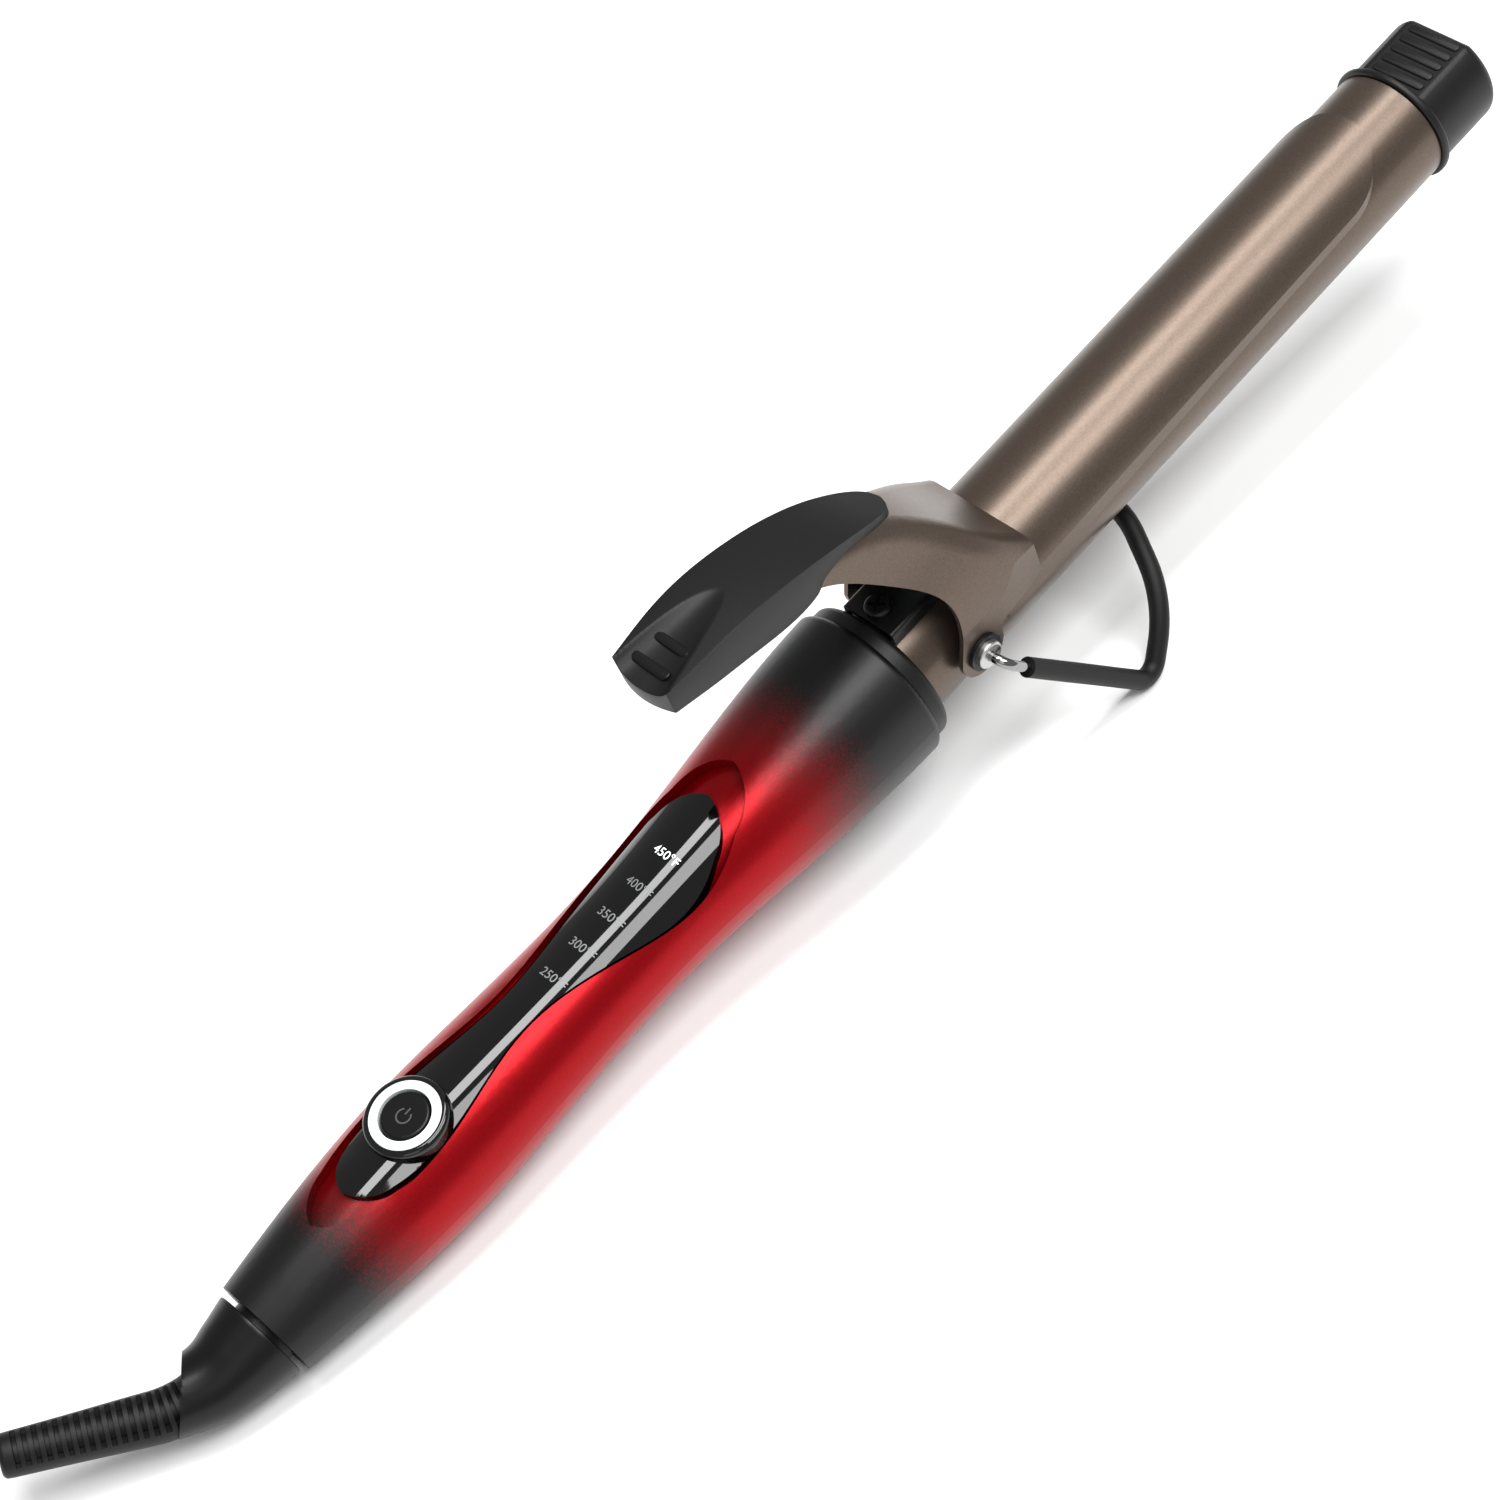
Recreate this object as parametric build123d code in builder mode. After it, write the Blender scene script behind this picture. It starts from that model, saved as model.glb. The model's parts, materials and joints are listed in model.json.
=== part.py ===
from build123d import *
import os
from math import asin, atan2, cos, degrees, hypot, radians, sin

# Curling iron with a 1 inch barrel, a spring-loaded spoon clamp, a swing-out stand and a swivel cord exit.
# Every piece is drawn in the iron's own frame: X runs along the barrel from the handle's lower rim to the
# tip, Z points to the thumb rest and Y points sideways. One placement at the end sets the iron down on its
# stand, which is how it rests on a table.

os.makedirs("parts", exist_ok=True)

# Barrel, collar and tip
BARREL_R = 12.7
BARREL_BORE_R = 11.9
BARREL_X = (148.0, 319.3)
COLLAR_R = 16.2
COLLAR_X = (162.9, 166.4)
TIP_X = (319.5, 338.0)
TIP_R = 12.4
TIP_FLANGE_R = 13.6
TIP_FLANGE_T = 1.8
TIP_FLAT_Z = 10.4
TIP_GROOVE_PITCH = 3.1

# Handle: radius along the axis, wall, and the control recess in its top
HANDLE_SIDE = [(0, 10.4), (12, 11.9), (28, 13.4), (42, 14.0), (60, 13.5), (85, 12.5), (104, 12.8),
               (122, 14.4), (141, 16.35), (155, 17.3), (162.8, 17.5)]
HANDLE_WALL = 2.0
HANDLE_END_WALL = 2.2
RECESS_SIDE = [(17.5, 0), (20.2, 3.9), (26, 6.7), (36, 8.4), (46, 8.1), (69, 4.8), (90, 8.1), (105, 10.6),
               (120, 8.4), (127.2, 4.9), (130, 0)]
LENS_SIDE = [(25.5, 0), (27.4, 3.9), (32, 6.3), (39, 7.4), (48, 7.0), (69, 4.0), (90, 7.3), (104, 9.6),
             (114.5, 7.8), (120.3, 4.4), (122.5, 0)]
RECESS_DEPTH = 2.4
RECESS_WALL = 1.6
LENS_TOP_INSET = 0.8
BOSSES = ((22.0, 9.4), (134.0, 14.3))

# Power button
BUTTON_X = 42.6
BEZEL_R = 8.2
SLEEVE_HOLE_R = 7.2
RING_R = 6.5
RING_RIM_R = 6.9
RING_RIM_T = 1.2
CAP_R = 4.75
BUTTON_TOP_Z = 14.6
BUTTON_TRAVEL = 0.8
BOARD_Z = (1.6, 3.2)

# Clamp
PIVOT_X = 178.5
PIVOT_Z = 3.0
EAR_Y = 15.4
SHEET_T = 1.0
SPOON_GAP = 0.3
SPOON_ROOT_X = 188.0
SPOON_END_X = 308.0
SPOON_TONGUE = 14.6
SPOON_HALF_WIDTH = (13.1, 12.3)
ARM_TOP = [(198, 13.9), (194, 18.3), (188, 26.2), (180, 36.0), (169, 45.0), (155, 50.2), (134, 52.2)]
ARM_ROUND = 5.0
ARM_WIDTH = [(-6, EAR_Y), (11, EAR_Y), (20, 14.0), (31, 9.7), (40, 7.5), (60, 6.4)]
THUMB_PLAN = [(121.3, 7.0), (132, 7.9), (143, 8.1), (154, 7.8), (163, 7.1), (170, 6.0), (175.5, 4.4)]
THUMB_ENDS = (119.9, 179.0)
THUMB_SCREWS = ((140.0, 50.1), (152.0, 48.8))
THUMB_TOP = [(119.5, 55.6), (134, 56.4), (143, 55.6), (154, 52.9), (163, 49.5), (170, 45.9), (179.5, 39.8)]
THUMB_SCREW_LENGTH = 3.6

# Stand
WIRE_R = 1.05
SLEEVE_R = 2.0
SLEEVE_START = 0.14
SLEEVE_OVERRUN = 0.02
SLEEVE_GAP = 0.04
WIRE_TANG_START = 14.2
STAND_TANG_Y = 21.0
STAND_CORNER = (27.0, 26.0, -36.8)
STAND_RISE = (0.76, 0.65)
STAND_SHOULDER = (15.5, 21.5)
STAND_PEAK = 31.0
STAND_RADII = (3.0, 4.0, 25.0, 17.0)

# Swivel end: the cap and the strain relief bend in the plane of X and BEND
CAP_X = -1.3
CAP_R_RIM = 9.6
CAP_SECTIONS = [(CAP_X, 0, 0, CAP_R_RIM), (-8, 0.05, 6, 8.5), (-14.5, 0.9, 18, 7.4), (-24, 5.0, 33, 6.4)]
NECK_R = 6.5
BEND = Vector(0, 0.8386, 0.5447)
RELIEF_BEND_X = -12.3
RELIEF_BEND_R = 22.0
RELIEF_ANGLE = 33.4
RELIEF_STRAIGHT = 27.0
RELIEF_R = (4.9, 3.8)
RELIEF_BORE_R = 3.0
RELIEF_PITCH = 1.85
RELIEF_SLOT = 0.65

pieces = {}


def keep(name, builder):
    """Label a finished piece and keep it for placing and export."""
    builder.part.label = name
    pieces[name] = builder.part


def ring(x0, x1, r_out, r_in):
    """A plain tube along X."""
    with BuildPart() as tube:
        with BuildSketch(Plane.YZ.offset(x0)):
            Circle(r_out)
            if r_in > 0:
                Circle(r_in, mode=Mode.SUBTRACT)
        extrude(amount=x1 - x0)
    return tube.part


def block(x, y, z):
    """A box between two corners, each given as a pair along X, Y and Z."""
    with BuildPart() as box:
        with Locations(((x[0] + x[1]) / 2, (y[0] + y[1]) / 2, (z[0] + z[1]) / 2)):
            Box(x[1] - x[0], y[1] - y[0], z[1] - z[0])
    return box.part


def up(x, z):
    """A plane that faces +Z on the iron's middle plane."""
    return Plane(origin=(x, 0, z))


def along(x, y, z):
    """A plane that faces +X at a point."""
    return Plane(origin=(x, y, z), x_dir=(0, 1, 0), z_dir=(1, 0, 0))


def disc(plane, radius, height):
    """A cylinder that stands on a plane."""
    with BuildPart() as cylinder:
        with BuildSketch(plane):
            Circle(radius)
        extrude(amount=height)
    return cylinder.part


def handle_body(inset):
    """The handle's round form, shrunk by an even inset."""
    with BuildPart() as body:
        with BuildSketch(Plane.XZ):
            with BuildLine():
                side = Spline(*[(x, r - inset) for x, r in HANDLE_SIDE])
                Polyline(side @ 1, (HANDLE_SIDE[-1][0], 0), (HANDLE_SIDE[0][0], 0), side @ 0)
            make_face()
        revolve(axis=Axis.X)
    return body.part


def outline_prism(side, grow, z0, z1):
    """A prism over the plan outline whose half widths are given along X, with both noses as arcs."""
    nose, heel = side[0], side[-1]
    side = [(nose[0] - grow, 0), (side[1][0] - 0.7 * grow, side[1][1] + 0.7 * grow)] + \
           [(x, width + grow) for x, width in side[2:-2]] + \
           [(side[-2][0] + 0.7 * grow, side[-2][1] + 0.7 * grow), (heel[0] + grow, 0)]
    with BuildPart() as prism:
        with BuildSketch(Plane.XY.offset(z0)):
            with BuildLine() as outline:
                ThreePointArc(*side[:3])
                Spline(*side[2:-2])
                ThreePointArc(*side[-3:])
                mirror(outline.line, about=Plane.XZ)
            make_face()
        extrude(amount=z1 - z0)
    return prism.part


# ---------------------------------------------------------------- handle shells

handle_full = handle_body(0)
handle_floor = handle_body(RECESS_DEPTH)
handle_cavity = handle_body(HANDLE_WALL) & block((HANDLE_END_WALL, 165), (-30, 30), (-30, 30))
recess_backing = outline_prism(RECESS_SIDE, 1.8, 2, 30) - handle_body(RECESS_DEPTH + RECESS_WALL)
recess_cut = (outline_prism(RECESS_SIDE, 0, 2, 30) + disc(up(BUTTON_X, 4), BEZEL_R + 0.1, 20)) - handle_floor

with BuildPart() as handle_top_shell:
    add(handle_full)
    fillet(handle_top_shell.edges().group_by(Axis.X)[-1], 1.4)
    add(block((-1, 170), (-30, 30), (0, 30)), mode=Mode.INTERSECT)
    add(handle_cavity - recess_backing, mode=Mode.SUBTRACT)
    add(recess_cut, mode=Mode.SUBTRACT)
    add(disc(up(BUTTON_X, 4), SLEEVE_HOLE_R, 20), mode=Mode.SUBTRACT)
    add(ring(150, 165, BARREL_R + 2.1, 0), mode=Mode.SUBTRACT)
    add(ring(-1, 4, NECK_R + 0.4, 0), mode=Mode.SUBTRACT)
    for boss_x, boss_top in BOSSES:
        add(disc(up(boss_x, 0.2), 2.8, boss_top - 0.2))
        add(disc(up(boss_x, 0), 1.1, 8), mode=Mode.SUBTRACT)
keep("handle_top_shell", handle_top_shell)

with BuildPart() as handle_bottom_shell:
    add(handle_full)
    fillet(handle_bottom_shell.edges().group_by(Axis.X)[-1], 1.4)
    add(block((-1, 170), (-30, 30), (-30, 0)), mode=Mode.INTERSECT)
    add(handle_cavity, mode=Mode.SUBTRACT)
    for boss_x, _ in BOSSES:
        boss = disc(up(boss_x, -16), 3.2, 16)
        add(boss & handle_body(1.0))
        add(disc(up(boss_x, -20), 1.3, 21), mode=Mode.SUBTRACT)
        add(disc(up(boss_x, -20), 2.4, 14), mode=Mode.SUBTRACT)
    add(ring(150, 165, BARREL_R + 2.1, 0), mode=Mode.SUBTRACT)
    add(ring(-1, 4, NECK_R + 0.4, 0), mode=Mode.SUBTRACT)
keep("handle_bottom_shell", handle_bottom_shell)

with BuildPart() as handle_screws:
    for boss_x, _ in BOSSES:
        add(disc(up(boss_x, -8.0), 2.2, 2.0))
        add(disc(up(boss_x, -6.0), 1.05, 12.0))
        add(block((boss_x - 1.4, boss_x + 1.4), (-0.3, 0.3), (-8.1, -7.3)), mode=Mode.SUBTRACT)
        add(block((boss_x - 0.3, boss_x + 0.3), (-1.4, 1.4), (-8.1, -7.3)), mode=Mode.SUBTRACT)
keep("handle_screws", handle_screws)

with BuildPart() as display_lens:
    add(outline_prism(LENS_SIDE, 0, 2, 30) & handle_body(LENS_TOP_INSET))
    add(handle_body(RECESS_DEPTH - 0.02), mode=Mode.SUBTRACT)
    add(disc(up(BUTTON_X, 4), SLEEVE_HOLE_R, 20), mode=Mode.SUBTRACT)
keep("display_lens", display_lens)

# ---------------------------------------------------------------- power button and board

button_base = up(BUTTON_X, 0)

with BuildPart() as button_bezel:
    add(disc(button_base.offset(8.0), BEZEL_R, BUTTON_TOP_Z - 8.0))
    fillet(button_bezel.edges().group_by(Axis.Z)[-1], 1.15)
    add(handle_body(LENS_TOP_INSET - 0.02), mode=Mode.SUBTRACT)
    add(disc(button_base.offset(8.0), SLEEVE_HOLE_R - 0.02, 6.0))
    add(disc(button_base.offset(7.0), RING_R + 0.05, 12), mode=Mode.SUBTRACT)
    add(disc(button_base.offset(BUTTON_TOP_Z - RING_RIM_T), RING_RIM_R + 0.05, 5), mode=Mode.SUBTRACT)
keep("button_bezel", button_bezel)

with BuildPart() as ring_light_guide:
    add(disc(button_base.offset(9.0), RING_R, BUTTON_TOP_Z - 9.0))
    add(disc(button_base.offset(BUTTON_TOP_Z - RING_RIM_T + 0.05), RING_RIM_R, RING_RIM_T - 0.05))
    fillet(ring_light_guide.edges().group_by(Axis.Z)[-1], 0.25)
    add(disc(button_base.offset(8.0), CAP_R + 0.35, 12), mode=Mode.SUBTRACT)
keep("ring_light_guide", ring_light_guide)

with BuildPart() as power_button:
    add(disc(button_base.offset(11.5), CAP_R, BUTTON_TOP_Z - 11.5))
    fillet(power_button.edges().group_by(Axis.Z)[-1], 0.6)
    add(disc(button_base.offset(BOARD_Z[1] + 2.2 + BUTTON_TRAVEL), 1.5, 8))
keep("power_button", power_button)

with BuildPart() as tact_switch:
    add(block((BUTTON_X - 3, BUTTON_X + 3), (-3, 3), (BOARD_Z[1], BOARD_Z[1] + 1.6)))
    add(disc(button_base.offset(BOARD_Z[1]), 1.6, 2.0))
keep("tact_switch", tact_switch)

with BuildPart() as circuit_board:
    add(block((32, 120), (-7, 7), BOARD_Z))
    with Locations((36, 0, 0), (116, 0, 0)):
        Cylinder(1.2, 20, mode=Mode.SUBTRACT)
keep("circuit_board", circuit_board)

with BuildPart() as board_spacers:
    for spacer_x in (36, 116):
        post = disc(up(spacer_x, -12), 2.6, 13.6) & handle_body(HANDLE_WALL)
        add(post)
        add(disc(up(spacer_x, 1), 1.1, BOARD_Z[1]))
keep("board_spacers", board_spacers)

MARK_X = [66.0, 74.5, 83.0, 91.5, 100.0]
with BuildPart() as indicator_leds:
    for mark_x in MARK_X:
        add(block((mark_x - 0.8, mark_x + 0.8), (-1.0, 1.0), (BOARD_Z[1], BOARD_Z[1] + 0.8)))
keep("indicator_leds", indicator_leds)

with BuildPart() as power_triac:
    add(block((104, 112), (-5, 5), (BOARD_Z[1], BOARD_Z[1] + 2.2)))
keep("power_triac", power_triac)

# ---------------------------------------------------------------- barrel, collar and hinge block

left_axis = Plane(origin=(PIVOT_X, 0, PIVOT_Z), x_dir=(1, 0, 0), z_dir=(0, -1, 0))
right_axis = Plane(origin=(PIVOT_X, 0, PIVOT_Z), x_dir=(1, 0, 0), z_dir=(0, 1, 0))
SCREW_SHANK_R = 1.9
BUSH_R = 2.9
BRACKET_SCREW_X = 170.0

with BuildPart() as barrel_tube:
    add(ring(BARREL_X[0], BARREL_X[1], BARREL_R, BARREL_BORE_R))
    for side_axis in (left_axis, right_axis):
        add(disc(side_axis, BUSH_R + 0.02, 20), mode=Mode.SUBTRACT)
    add(disc(up(BRACKET_SCREW_X, 0), 1.25, 20), mode=Mode.SUBTRACT)
keep("barrel_tube", barrel_tube)

with BuildPart() as hinge_block:
    add(ring(168, 190, BARREL_BORE_R - 0.02, 6.2))
    for side_axis in (left_axis, right_axis):
        add(disc(side_axis.offset(10.6), BUSH_R + 0.02, 6), mode=Mode.SUBTRACT)
        add(disc(side_axis.offset(5.6), SCREW_SHANK_R + 0.02, 9), mode=Mode.SUBTRACT)
    add(disc(up(BRACKET_SCREW_X, 6), 1.25, 8), mode=Mode.SUBTRACT)
keep("hinge_block", hinge_block)

with BuildPart() as hinge_bush_left:
    add(disc(left_axis.offset(10.8), BUSH_R, 15.6 - 10.8))
    add(disc(left_axis.offset(15.6), 3.9, 0.7))
    add(disc(left_axis.offset(10), SCREW_SHANK_R + 0.02, 10), mode=Mode.SUBTRACT)
keep("hinge_bush_left", hinge_bush_left)

with BuildPart() as hinge_screw_left:
    add(disc(left_axis.offset(16.3), 2.9, 1.3))
    fillet(hinge_screw_left.edges().group_by(Axis.Y)[0], 0.5)
    add(disc(left_axis.offset(6.8), SCREW_SHANK_R, 9.5))
    for turn in (45, 135):
        with BuildSketch(left_axis.offset(17.0).rotated((0, 0, turn))):
            Rectangle(4.2, 0.7)
        extrude(amount=2, mode=Mode.SUBTRACT)
    add(disc(left_axis.offset(14.0), WIRE_R + 0.05, 5), mode=Mode.SUBTRACT)
keep("hinge_screw_left", hinge_screw_left)

with BuildPart() as hinge_bush_right:
    add(mirror(hinge_bush_left.part, about=Plane.XZ, mode=Mode.PRIVATE))
keep("hinge_bush_right", hinge_bush_right)

with BuildPart() as hinge_screw_right:
    add(mirror(hinge_screw_left.part, about=Plane.XZ, mode=Mode.PRIVATE))
keep("hinge_screw_right", hinge_screw_right)

with BuildPart() as collar_ring:
    add(ring(COLLAR_X[0], COLLAR_X[1], COLLAR_R, 0))
    fillet(collar_ring.edges().group_by(Axis.X)[-1], 1.5)
    add(ring(155, COLLAR_X[0], BARREL_R + 2.0, 0))
    add(ring(150, 170, BARREL_R + 0.01, 0), mode=Mode.SUBTRACT)
keep("collar_ring", collar_ring)

with BuildPart() as barrel_mount:
    add(ring(146, 154.5, 14.2, 0))
    add(ring(147.9, 160, BARREL_R + 0.01, 0), mode=Mode.SUBTRACT)
    add(ring(140, 150, 8.0, 0), mode=Mode.SUBTRACT)
keep("barrel_mount", barrel_mount)

# ---------------------------------------------------------------- heater inside the barrel

HEATER_X = (206.0, 300.0)
PTC = (6.4, 1.2)
FILM_T = 0.45

for half_name, low, high in (("upper", PTC[1] + FILM_T, 20), ("lower", -20, -PTC[1] - FILM_T)):
    with BuildPart() as heater_half:
        add(ring(HEATER_X[0], HEATER_X[1], BARREL_BORE_R - 0.02, 0))
        add(block((200, 310), (-20, 20), (low, high)), mode=Mode.INTERSECT)
        middle = 6.6 if low > 0 else -6.6
        add(disc(along(200, 0, middle), 2.4, 110), mode=Mode.SUBTRACT)
    keep(f"heater_half_{half_name}", heater_half)

with BuildPart() as ptc_element:
    add(block((212, 294), (-PTC[0], PTC[0]), (-PTC[1], PTC[1])))
keep("ptc_element", ptc_element)

with BuildPart() as insulation_film:
    add(block((208, 298), (-PTC[0] - FILM_T, PTC[0] + FILM_T), (-PTC[1] - FILM_T, PTC[1] + FILM_T)))
    add(block((207, 299), (-PTC[0], PTC[0]), (-PTC[1], PTC[1])), mode=Mode.SUBTRACT)
keep("insulation_film", insulation_film)

with BuildPart() as heater_wedges:
    for wedge_x in (216, 250, 284):
        for edge_y in (-9.4, 8.4):
            add(block((wedge_x, wedge_x + 8), (edge_y, edge_y + 1.0), (-PTC[1] - FILM_T, PTC[1] + FILM_T)))
keep("heater_wedges", heater_wedges)

with BuildPart() as thermal_fuse:
    add(disc(along(192, 0, 3.5), 1.6, 10))
keep("thermal_fuse", thermal_fuse)

with BuildPart() as thermistor:
    add(disc(along(200, 0, -6.6), 1.3, 30))
keep("thermistor", thermistor)

with BuildPart() as heater_leads:
    for lead_y in (-4.4, 4.4):
        add(disc(along(108, lead_y, 0.75), 0.7, 99.5))
keep("heater_leads", heater_leads)

# ---------------------------------------------------------------- tip

with BuildPart() as tip_plug:
    add(ring(304, 317, BARREL_BORE_R - 0.02, 2.5))
keep("tip_plug", tip_plug)

with BuildPart() as cool_tip:
    add(ring(TIP_X[0], TIP_X[1], TIP_R, 0))
    fillet(cool_tip.edges().group_by(Axis.X)[-1], 2.2)
    add(ring(TIP_X[0], TIP_X[0] + TIP_FLANGE_T, TIP_FLANGE_R, 0))
    fillet(cool_tip.edges().filter_by(GeomType.CIRCLE).sort_by(SortBy.RADIUS)[-2:], 0.5)
    flat_start = TIP_X[0] + TIP_FLANGE_T + 1.2
    for side in (1, -1):
        cut_z = sorted((side * TIP_FLAT_Z, side * 20))
        add(block((flat_start, 350), (-20, 20), cut_z), mode=Mode.SUBTRACT)
        for number in range(5):
            groove_x = flat_start + 1.0 + number * TIP_GROOVE_PITCH
            groove_z = sorted((side * (TIP_FLAT_Z - 0.5), side * 20))
            add(block((groove_x, groove_x + 0.9), (-20, 20), groove_z), mode=Mode.SUBTRACT)
    add(ring(317.1, TIP_X[0], BARREL_BORE_R - 0.05, 0))
    add(ring(307, 317.1, 2.45, 0))
keep("cool_tip", cool_tip)

# ---------------------------------------------------------------- spring bracket and clamp spring

with BuildPart() as spring_bracket:
    add(block((166.8, 178.0), (-6.4, 6.4), (12.0, 15.2)))
    fillet(spring_bracket.edges().filter_by(Axis.X).group_by(Axis.Z)[-1], 0.9)
    add(block((166, 179), (-5.3, 5.3), (10, 14.0)), mode=Mode.SUBTRACT)
    add(ring(166, 179, BARREL_R + 0.02, 0), mode=Mode.SUBTRACT)
    add(disc(up(BRACKET_SCREW_X, 0), 1.3, 20), mode=Mode.SUBTRACT)
keep("spring_bracket", spring_bracket)

with BuildPart() as spring_screw:
    add(disc(up(BRACKET_SCREW_X, 15.2), 2.7, 1.5))
    fillet(spring_screw.edges().group_by(Axis.Z)[-1], 0.7)
    add(disc(up(BRACKET_SCREW_X, 8), 1.2, 7.3))
    for turn in (30, 120):
        with BuildSketch(up(BRACKET_SCREW_X, 16.0).rotated((0, 0, turn))):
            Rectangle(3.2, 0.6)
        extrude(amount=2, mode=Mode.SUBTRACT)
keep("spring_screw", spring_screw)

LEAF_T = 0.5
with BuildPart() as clamp_spring:
    with BuildSketch(Plane.XZ):
        with BuildLine():
            foot = Line((167.5, 13.4), (182.0, 13.4))
            bend = TangentArc(foot @ 1, (183.6, 17.6), tangent=foot % 1)
            TangentArc(bend @ 1, (172.5, 33.0), tangent=bend % 1)
        trace(line_width=LEAF_T)
    extrude(amount=3.5, both=True)
    add(disc(up(BRACKET_SCREW_X, 0), 1.3, 15), mode=Mode.SUBTRACT)
keep("clamp_spring", clamp_spring)

# ---------------------------------------------------------------- clamp, one stamped sheet


def arm_form(inset, drop):
    """The arm and ears as a solid: side view, front view and plan taken together."""
    top = [(x, z - drop) for x, z in ARM_TOP]
    with BuildPart() as form:
        with BuildSketch(Plane.XZ):
            with BuildLine():
                crown = Spline(*top)
                if drop > 0:
                    Polyline(crown @ 1, (120, top[-1][1]), (120, -20), (top[0][0], -20), crown @ 0)
                else:
                    Line(crown @ 1, (133.5, 48.6))
                    Line((133.5, 48.6), (150, 46.4))
                    Spline((150, 46.4), (159, 42.2), (169, 31.3), (176, 20.0), (175.6, 12.0), (172.9, 3.6),
                           tangents=[(1, -0.13), (-0.35, -1)])
                    ThreePointArc((172.9, 3.6), (178.2, -2.6), (184.0, 3.6))
                    Spline((184.0, 3.6), (188, 5.4), (198, 4.6), tangents=[(0.5, 1), (1, -0.05)])
                    Line((198, 4.6), crown @ 0)
            make_face()
        extrude(amount=20, both=True)
        with BuildSketch(Plane.YZ.offset(100)):
            with BuildLine():
                flank = Spline(*[(y - inset, z) for z, y in ARM_WIDTH])
                Polyline(flank @ 1, (0, ARM_WIDTH[-1][0]), (0, -25), (EAR_Y - inset, -25), flank @ 0)
            make_face()
            mirror(about=Plane.YZ)
        extrude(amount=110, mode=Mode.INTERSECT)
        with BuildSketch(Plane.XY.offset(-30)):
            with BuildLine():
                front = Spline((186, EAR_Y - inset), (192, 14.9 - inset), (198, 13.5 - inset),
                               tangents=[(1, 0), (1, -0.35)])
                Polyline(front @ 1, (198, 0), (100, 0), (100, EAR_Y - inset), front @ 0)
            make_face()
            mirror(about=Plane.XZ)
        extrude(amount=100, mode=Mode.INTERSECT)
        crest = [edge for edge in form.edges() if edge.length > 60 and edge.center().Z > 25]
        fillet([edge for edge in crest if abs(edge.center().Y) > 4], ARM_ROUND - inset)
    return form.part


arm_outer = arm_form(0, 0)
arm_inner = arm_form(SHEET_T, 1.4)

with BuildPart() as spoon:
    add(ring(SPOON_ROOT_X, SPOON_END_X + 2, BARREL_R + SPOON_GAP + 0.9, BARREL_R + SPOON_GAP))
    with BuildSketch(Plane.XY):
        with BuildLine():
            tongue_x = SPOON_END_X - SPOON_TONGUE
            edge = Line((SPOON_ROOT_X, SPOON_HALF_WIDTH[0]), (tongue_x, SPOON_HALF_WIDTH[1]))
            tongue = Spline(edge @ 1, (tongue_x + 10.2, 9.6), (SPOON_END_X, 0),
                            tangents=[(1, -0.01), (0, -1)])
            mirror(edge, about=Plane.XZ)
            mirror(tongue, about=Plane.XZ)
            Line((SPOON_ROOT_X, SPOON_HALF_WIDTH[0]), (SPOON_ROOT_X, -SPOON_HALF_WIDTH[0]))
        make_face()
    extrude(amount=20, mode=Mode.INTERSECT)

with BuildPart() as clamp_plate:
    add(arm_outer)
    add(arm_inner, mode=Mode.SUBTRACT)
    add(ring(150, 330, BARREL_R + SPOON_GAP, 0), mode=Mode.SUBTRACT)
    add(spoon.part)
    for side_axis in (left_axis, right_axis):
        add(disc(side_axis.offset(12), BUSH_R + 0.05, 8), mode=Mode.SUBTRACT)
    for screw_x, head_z in THUMB_SCREWS:
        add(disc(up(screw_x, head_z - 5), 1.3, 20), mode=Mode.SUBTRACT)
keep("clamp_plate", clamp_plate)

with BuildPart() as thumb_rest:
    with BuildSketch(Plane.XZ):
        with BuildLine():
            top = Spline(*THUMB_TOP)
            Polyline(top @ 1, (179.5, 36.8), (166.5, 45.0), (158.5, 45.6), (155.5, 43.8))
            Spline((155.5, 43.8), (149, 43.9), (136, 46.8), (119.5, 49.8))
            Line((119.5, 49.8), top @ 0)
        make_face()
    extrude(amount=12, both=True)
    with BuildSketch(Plane.XY):
        with BuildLine():
            flank = Spline(*THUMB_PLAN)
            mirrored = mirror(flank, about=Plane.XZ)
            ThreePointArc(flank @ 0, (THUMB_ENDS[0], 0), mirrored @ 0)
            Spline(flank @ 1, (THUMB_ENDS[1], 0), mirrored @ 1, tangents=[flank % 1, (-1, -0.4)])
        make_face()
    extrude(amount=80, mode=Mode.INTERSECT)
    add(arm_outer, mode=Mode.SUBTRACT)
    for screw_x, head_z in THUMB_SCREWS:
        add(disc(up(screw_x, head_z), 1.12, THUMB_SCREW_LENGTH + 0.1), mode=Mode.SUBTRACT)
    with Locations((125.0, 0, 55.6 + 27.4)):
        Sphere(29.0, mode=Mode.SUBTRACT)
keep("thumb_rest", thumb_rest)

with BuildPart() as thumb_rest_screws:
    for screw_x, head_z in THUMB_SCREWS:
        add(disc(up(screw_x, head_z - 1.2), 2.2, 1.2))
        add(disc(up(screw_x, head_z), 1.1, THUMB_SCREW_LENGTH))
keep("thumb_rest_screws", thumb_rest_screws)

# ---------------------------------------------------------------- stand


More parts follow.
